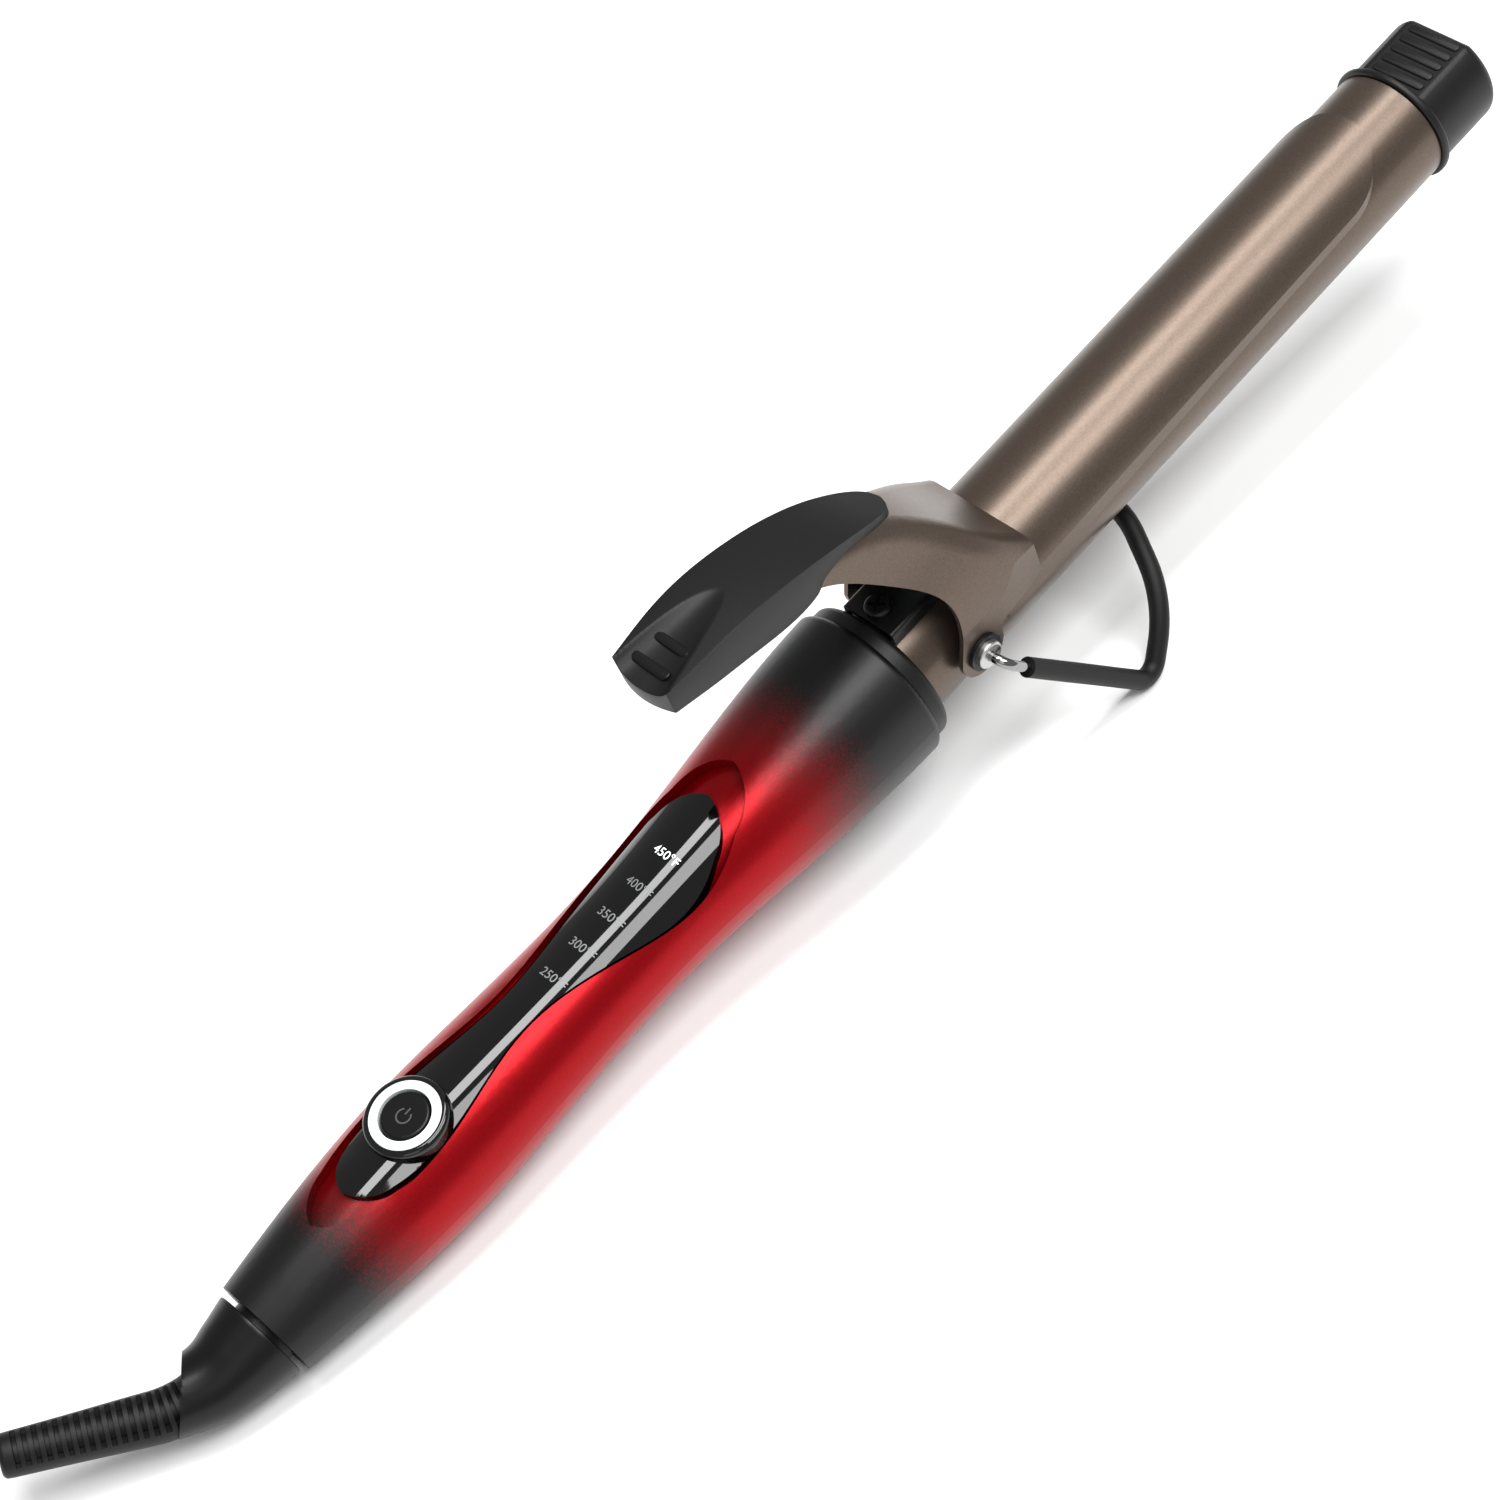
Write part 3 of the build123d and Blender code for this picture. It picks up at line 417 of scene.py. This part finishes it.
def scoop(x, y):
    """How far the finger scoop lies below the thumb rest's top."""
    reach = (SCOOP_X[1] - x) / (SCOOP_X[1] - SCOOP_X[0]) - (y / SCOOP_HALF_WIDTH) ** 2
    share = max(0.0, min(1.0, reach))
    return SCOOP_DEPTH * (1 - (1 - share) ** SCOOP_FALL)


def thumb_rest():
    """Moulded lever tip: a crowned bar, pointed in plan at the far end, with a parabolic finger scoop."""
    stations = evenly(THUMB_PLAN[0][0], THUMB_PLAN[-1][0], THUMB_STATIONS)
    shares = evenly(-1.0, 1.0, THUMB_COLUMNS)
    top, under = [], []
    for number, x in enumerate(stations):
        half = eased(THUMB_PLAN, x)
        back = THUMB_BULGE * max(0.0, 1 - number / THUMB_BULGE_STATIONS)
        spots = [(x - back * (1 - share * share), half * share) for share in shares]
        top.append([(px, py, eased(THUMB_TOP, px) - THUMB_CROWN * (py / 8) ** 2 - scoop(px, py))
                    for px, py in spots])
        under.append([(px, py * THUMB_DRAFT, eased(THUMB_UNDER, px)) for px, py in spots])
    form = [upper + lower[::-1] for upper, lower in zip(top, under)]
    mesh = skin("thumb_rest_moulding", form, around=True)
    solid = bmesh.new()
    solid.from_mesh(mesh)
    edges = [edge for edge in solid.edges if edge.is_boundary]
    bmesh.ops.holes_fill(solid, edges=edges)
    bmesh.ops.recalc_face_normals(solid, faces=solid.faces)
    solid.to_mesh(mesh)
    solid.free()
    settled("thumb_rest_moulding", mesh, MATTE, "clamp", ["thumb_rest"],
            modifiers=[rounding(MOULD_ROUNDING)], sharp=50)


def bar_tree(name, look):
    """A row of rounded bars along X, each as long as Length across Y, standing on Z = 0."""
    tree, sizes = start_tree(name, ("Count", "Pitch", "Length", "Width", "Height"))
    outline = add(tree, "GeometryNodeCurvePrimitiveQuadrilateral", {
        "Width": sizes["Width"], "Height": sizes["Length"]})
    radius = add(tree, "ShaderNodeMath", {0: sizes["Width"], 1: 0.48}, operation="MULTIPLY")
    oval = add(tree, "GeometryNodeFilletCurve", {
        "Curve": outline.outputs[0], "Radius": radius.outputs[0], "Count": 8}, mode="POLY")
    base = add(tree, "GeometryNodeFillCurve", {"Curve": oval.outputs[0]}, mode="NGONS")
    raised = add(tree, "GeometryNodeExtrudeMesh", {
        "Mesh": base.outputs[0], "Offset Scale": sizes["Height"], "Individual": False})
    foot = add(tree, "GeometryNodeFlipFaces", {"Mesh": base.outputs[0]})
    both = add(tree, "GeometryNodeJoinGeometry")
    tree.links.new(foot.outputs[0], both.inputs[0])
    tree.links.new(raised.outputs[0], both.inputs[0])
    bar = add(tree, "GeometryNodeMergeByDistance", {"Geometry": both.outputs[0], "Distance": 0.001})
    step = add(tree, "ShaderNodeCombineXYZ", {"X": sizes["Pitch"]})
    row = add(tree, "GeometryNodeMeshLine", {"Count": sizes["Count"], "Offset": step.outputs[0]})
    bars = add(tree, "GeometryNodeInstanceOnPoints", {"Points": row.outputs[0], "Instance": bar.outputs[0]})
    end_tree(tree, bars.outputs[0], look)
    return tree


THUMB_RIBS = {"Count": 2, "Pitch": 5.2, "Length": 9.0, "Width": 2.0, "Height": 0.75}
RIB_PLACE = (124.1, 0.4, 53.75)
RIB_BOW = (0.25, 0.55)
RIB_RISE = 0.06


def thumb_ribs():
    """Two rounded ribs across the scoop, which keep the thumb from sliding."""
    mesh = grown(bar_tree("rib_row", MATTE), THUMB_RIBS, [rounding(MOULD_ROUNDING)])
    for vertex in mesh.vertices:
        bow = (vertex.co.y / (THUMB_RIBS["Length"] / 2)) ** 2
        vertex.co.x += RIB_BOW[0] * bow
        vertex.co.z += RIB_BOW[1] * bow + RIB_RISE * vertex.co.x
    seat = IRON @ Matrix.Translation(Vector(RIB_PLACE) * MM)
    settled("thumb_ribs", mesh, SATIN, "clamp", place=seat, sharp=50)


# ---------------------------------------------------------------- cool tip

TIP_X = (319.5, 338.0)
TIP_R = 12.4
TIP_FLANGE = (13.6, 1.8)
TIP_FLAT = 10.1
TIP_EDGE = 2.2
TIP_BORE_R = 11.0
TIP_RIM_ROUND = 0.4
TIP_BARS = {"Count": 5, "Pitch": 2.85, "Length": 12.2, "Width": 1.95, "Height": 0.45}
TIP_BARS_X = 323.9
TIP_BARS_SUNK = 0.1


def cool_tip():
    """Heat-proof end cap: thin flange, two finger flats and a rounded outer edge."""
    flat_angle = math.acos(TIP_FLAT / TIP_R)
    turns = []
    for start, end, count in ((-flat_angle, flat_angle, 17), (flat_angle, math.pi - flat_angle, 33),
                              (math.pi - flat_angle, math.pi + flat_angle, 17),
                              (math.pi + flat_angle, 2 * math.pi - flat_angle, 33)):
        turns += evenly(start, end, count)[:-1]
    flange_r, flange_t = TIP_FLANGE
    profile = [(TIP_X[0], TIP_BORE_R), (TIP_X[0], flange_r - TIP_RIM_ROUND),
               (TIP_X[0] + TIP_RIM_ROUND, flange_r), (TIP_X[0] + flange_t - TIP_RIM_ROUND, flange_r),
               (TIP_X[0] + flange_t, flange_r - TIP_RIM_ROUND), (TIP_X[0] + flange_t, TIP_R)]
    profile += [(x, TIP_R) for x in evenly(TIP_X[0] + flange_t + 0.6, TIP_X[1] - TIP_EDGE, 12)]
    for turn in evenly(10, 90, 8):
        angle = math.radians(turn)
        profile.append((TIP_X[1] - TIP_EDGE * (1 - math.sin(angle)),
                        TIP_R - TIP_EDGE * (1 - math.cos(angle))))
    rows = []
    for x, r in profile:
        limit = TIP_FLAT if x >= TIP_X[0] + flange_t else r
        limit -= max(0.0, TIP_R - r) * 0.9 if x > TIP_X[1] - TIP_EDGE else 0.0
        rows.append([(x, r * math.sin(turn), max(-limit, min(limit, r * math.cos(turn)))) for turn in turns])
    mesh = skin("cool_tip_moulding", rows, around=True, caps=True)
    settled("cool_tip_moulding", mesh, MATTE, "root", ["cool_tip"],
            modifiers=[rounding(0.3)], sharp=50)
    bars = grown(bar_tree("grip_bars", MATTE), TIP_BARS, [rounding(0.3, 2)])
    upper = Matrix.Translation((TIP_BARS_X, 0, TIP_FLAT - TIP_BARS_SUNK))
    lower = Matrix.Translation((TIP_BARS_X, 0, TIP_BARS_SUNK - TIP_FLAT)) @ Matrix.Rotation(math.pi, 4, "X")
    grips = joined("cool_tip_grips", [placed(bars, upper), placed(bars, lower)])
    settled("cool_tip_grips", grips, MATTE, "root", sharp=50)


# ---------------------------------------------------------------- cord exit

BEND = Vector((0, 0.8386, 0.5447))
CAP_RIM_X = -1.3
CAP_ALONG = [(0, CAP_RIM_X), (1, -8.0), (2, -14.5), (3, -24.0)]
CAP_OUT = [(0, 0), (1, 0.05), (2, 0.9), (3, 5.0)]
CAP_ANGLE = [(0, 0), (1, 6), (2, 18), (3, 33)]
CAP_R = [(0, 9.6), (1, 8.5), (2, 7.4), (3, 6.4)]
MOUTH_AT = Vector((-19.0, 0, 0)) + BEND * 2.4
MOUTH_WAY = Vector((-0.672, 0, 0)) + BEND * 0.74
NECK_R = 6.5
RELIEF_BEND_X = -12.3
RELIEF_BEND_R = 22.0
RELIEF_ANGLE = math.radians(33.4)
RELIEF_STRAIGHT = 27.0
RELIEF_LENGTH = RELIEF_BEND_R * RELIEF_ANGLE + RELIEF_STRAIGHT
RELIEF_R = [(0, 5.0), (14, 4.75), (28, 4.3), (RELIEF_LENGTH, 4.0)]
RELIEF_CORE_R = 3.12
RELIEF_BORE_R = 3.0
RELIEF_BORE_SHOWN = 12.0
RELIEF_EDGE = 1.1
SLOT_PITCH = 1.85
SLOT_WIDTH = 0.95
SLOT_COUNT = 17
SLOT_MARGIN = 2.6
SLOT_WINDOW = (22, 128)
CAP_WALL = 1.1
CAP_RIM_ROUND = 0.4
RING_POINTS = 96


def bend_ring(x, out, angle, radius, turns):
    """A circle of points across the cord's way, which heads from -X towards BEND by an angle."""
    centre = Vector((x, 0, 0)) + BEND * out
    inward = Vector((math.sin(angle), 0, 0)) + BEND * math.cos(angle)
    side = Vector((1, 0, 0)).cross(BEND)
    radii = radius if isinstance(radius, list) else [radius] * len(turns)
    return [centre + (inward * math.cos(t) + side * math.sin(t)) * r for t, r in zip(turns, radii)]


def swivel_cap():
    """The turning cap: a bent, tapering shell cut off askew where the strain relief comes out."""
    turns = evenly(0, 2 * math.pi, RING_POINTS + 1)[:-1]
    rows = [bend_ring(CAP_RIM_X, 0, 0, NECK_R, turns),
            bend_ring(CAP_RIM_X, 0, 0, CAP_R[0][1] - CAP_RIM_ROUND, turns),
            bend_ring(CAP_RIM_X - 0.12, 0, 0, CAP_R[0][1] - 0.12, turns)]
    for share in evenly(0.06, 3, 46):
        rows.append(bend_ring(eased(CAP_ALONG, share), eased(CAP_OUT, share),
                              math.radians(eased(CAP_ANGLE, share)), eased(CAP_R, share), turns))
    mesh = skin("swivel_cap_shell", rows, around=True)
    form = bmesh.new()
    form.from_mesh(mesh)
    everything = [*form.verts, *form.edges, *form.faces]
    bmesh.ops.bisect_plane(form, geom=everything, plane_co=MOUTH_AT, plane_no=MOUTH_WAY, clear_outer=True)
    form.to_mesh(mesh)
    form.free()
    wall = ("SOLIDIFY", {"thickness": CAP_WALL, "offset": -1.0, "use_even_offset": True})
    settled("swivel_cap_shell", mesh, SATIN, "swivel", ["swivel_cap"],
            modifiers=[wall, rounding(0.2, 2)], sharp=50)


def relief_ring(distance, radii, turns):
    """A ring of the strain relief at a distance along it."""
    arc = RELIEF_BEND_R * RELIEF_ANGLE
    angle = min(distance, arc) / RELIEF_BEND_R
    run = max(0.0, distance - arc)
    x = RELIEF_BEND_X - RELIEF_BEND_R * math.sin(angle) - run * math.cos(angle)
    out = RELIEF_BEND_R * (1 - math.cos(angle)) + run * math.sin(angle)
    return bend_ring(x, out, angle, radii, turns)


def strain_relief():
    """Moulded relief: a tapering tube with two staggered combs of slots and a smooth spine along the back."""
    turns = evenly(0, 2 * math.pi, RING_POINTS + 1)[:-1]
    stations = {0.0, 1.2, 2.4}
    slots = []
    for number in range(SLOT_COUNT):
        for side in (0, 1):
            start = RELIEF_LENGTH - SLOT_MARGIN - SLOT_WIDTH - (number + side / 2) * SLOT_PITCH
            slots.append((side, start, start + SLOT_WIDTH))
            stations |= {start - 0.02, start + 0.1, start + SLOT_WIDTH - 0.1, start + SLOT_WIDTH + 0.02}
    rows = []
    for station in sorted(s for s in stations if s >= 0):
        outer = eased(RELIEF_R, station)
        cut = {side for side, start, end in slots if start < station < end}
        radii = []
        for turn in turns:
            degrees = math.degrees(turn)
            side, local = (1, 360 - degrees) if degrees > 180 else (0, degrees)
            inside = side in cut and SLOT_WINDOW[0] < local < SLOT_WINDOW[1]
            radii.append(RELIEF_CORE_R if inside else outer)
        rows.append(relief_ring(station, radii, turns))
    for turn in evenly(0, 90, 6):
        angle = math.radians(turn)
        outer = eased(RELIEF_R, RELIEF_LENGTH) - RELIEF_EDGE * (1 - math.cos(angle))
        rows.append(relief_ring(RELIEF_LENGTH - RELIEF_EDGE * (1 - math.sin(angle)), outer, turns))
    for station in (RELIEF_LENGTH, RELIEF_LENGTH - RELIEF_BORE_SHOWN):
        rows.append(relief_ring(station, RELIEF_BORE_R, turns))
    mesh = skin("strain_relief_moulding", rows, around=True, caps=True)
    settled("strain_relief_moulding", mesh, RELIEF, "swivel", ["strain_relief"], sharp=40)


# ---------------------------------------------------------------- panel marks

DROP_HEIGHT = 40.0


def laid_on(mesh, node, lift):
    """Drops a mesh in iron millimetres along -Z onto a CAD node, lift above it."""
    target = frame["nodes"][node].data
    surface = BVHTree.FromPolygons([v.co for v in target.vertices], [p.vertices for p in target.polygons])
    down = -(IRON_TURN.to_matrix() @ Vector((0, 0, 1)))
    for vertex in mesh.vertices:
        above = iron(vertex.co.x, vertex.co.y, DROP_HEIGHT)
        hit, _, _, distance = surface.ray_cast(above, down)
        if hit is not None:
            vertex.co.z += DROP_HEIGHT - distance / MM + lift


MARK_X = {"450": 109.0, "400": 101.4, "350": 93.8, "300": 86.2, "250": 78.6}
MARK_Y = -1.2
MARK_WIDTH = 5.8
SYMBOL_R = 1.4
SYMBOL_LINE = 0.3
SYMBOL_BAR = (0.4, 1.85)
PRINT_THICKNESS = 0.02


def panel_marks():
    """Temperature marks printed behind the lens; the lit one glows."""
    for text, x in MARK_X.items():
        words = bpy.data.curves.new("mark_" + text, "FONT")
        words.body = text + "\N{DEGREE SIGN}F"
        words.align_x = words.align_y = "CENTER"
        words.extrude = 0.01
        words.resolution_u = 6
        draft = shown("mark_draft", words)
        bpy.context.view_layer.update()
        mesh = bpy.data.meshes.new_from_object(draft.evaluated_get(bpy.context.evaluated_depsgraph_get()))
        scale = MARK_WIDTH / draft.dimensions.x
        bpy.data.objects.remove(draft)
        turn = Matrix.Rotation(-math.pi / 2, 4, "Z") @ Matrix.Diagonal((scale, scale, 1, 1))
        mesh.transform(Matrix.Translation((x, MARK_Y, 0)) @ turn)
        laid_on(mesh, "display_lens", 0.02)
        settled("mark_" + text, mesh, GLOW if text == "450" else PRINT, "root")


def power_symbol():
    """The standard power sign, a faint print on the button."""
    arc = [math.radians(a) for a in evenly(40, 320, 41)]
    half = SYMBOL_LINE / 2
    section = ((-half, 0), (half, 0), (half, PRINT_THICKNESS), (-half, PRINT_THICKNESS))
    ring = [[((SYMBOL_R + out) * math.cos(a), (SYMBOL_R + out) * math.sin(a), z) for out, z in section]
            for a in arc]
    bar = [[(x, y, z) for y, z in section] for x in SYMBOL_BAR]
    mesh = joined("power_symbol", [skin("symbol_ring", ring, around=True, caps=True),
                                   skin("symbol_bar", bar, around=True, caps=True)])
    low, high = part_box("power_button")
    centre = IRON.inverted() @ ((low + high) / 2) / MM
    mesh.transform(Matrix.Translation((centre.x, 0, 0)))
    laid_on(mesh, "power_button", 0.01)
    settled("power_symbol", mesh, FAINT, "button")


thumb_rest()
thumb_ribs()
cool_tip()
swivel_cap()
strain_relief()
panel_marks()
power_symbol()

# ---------------------------------------------------------------- studio

FLOOR_REACH = 12.0
ROOM_LIGHT = 0.42
# Name, place, aim and size in metres, power in watts.
SOFTBOXES = (
    ("key", (0.30, 0.06, 1.3), (0.30, 0, 0), (1.3, 0.30), 16),
    ("lens_box", (0.26, -0.52, 1.2), (0.26, 0, 0), (1.1, 0.46), 15),
    ("fill", (-1.2, -0.9, 0.9), (0, 0, 0), (0.9, 0.9), 3),
)


def studio():
    """A pale floor, two overhead softboxes, a faint fill and the pale room."""
    floor_mesh = bpy.data.meshes.new("floor")
    corners = [(x * FLOOR_REACH, y * FLOOR_REACH, 0) for x, y in ((-1, -1), (1, -1), (1, 1), (-1, 1))]
    floor_mesh.from_pydata(corners, [], [(0, 1, 2, 3)])
    floor = bpy.data.objects.new("floor", floor_mesh)
    bpy.context.scene.collection.objects.link(floor)
    floor_look = bpy.data.materials.new("paper_white_matt")
    floor_look.use_nodes = True
    floor_look.node_tree.nodes.clear()
    end_material(floor_look.node_tree, {"Base Color": linear("F4F4F4"), "Roughness": 0.9})
    floor_mesh.materials.append(floor_look)

    for name, place, aim, size, power in SOFTBOXES:
        light = bpy.data.lights.new(name, "AREA")
        light.shape = "RECTANGLE"
        light.size, light.size_y = size
        light.energy = power
        lamp = bpy.data.objects.new(name, light)
        lamp.location = place
        lamp.rotation_euler = (Vector(aim) - Vector(place)).to_track_quat("-Z", "Y").to_euler()
        bpy.context.scene.collection.objects.link(lamp)

    world = bpy.data.worlds.new("studio")
    world.use_nodes = True
    room = world.node_tree.nodes["Background"].inputs
    room["Color"].default_value = linear("F4F4F4")
    room["Strength"].default_value = ROOM_LIGHT
    bpy.context.scene.world = world


# Place and directions in the iron's frame, millimetres.
CAMERA_PLACE = (-20.4, -336.5, 532.8)
CAMERA_FORWARD = Vector((0.242, 0.528, -0.814))
CAMERA_UP = Vector((0.70694, 0.47872, 0.52068))
LENS_MM = 83.88
SENSOR_MM = 36.0


def camera():
    """The camera, placed and turned in the iron's frame."""
    made = bpy.data.cameras.new("camera")
    made.lens = LENS_MM
    made.sensor_width = SENSOR_MM
    made.clip_start = 0.01
    eye = bpy.data.objects.new("camera", made)
    back = -CAMERA_FORWARD.normalized()
    side = CAMERA_UP.cross(back).normalized()
    up = back.cross(side)
    turn = Matrix((side, up, back)).transposed()
    eye.matrix_world = Matrix.Translation(iron(*CAMERA_PLACE)) @ (IRON_TURN.to_matrix() @ turn).to_4x4()
    bpy.context.scene.collection.objects.link(eye)
    bpy.context.scene.camera = eye


studio()
camera()
bpy.context.scene.view_settings.view_transform = "Standard"
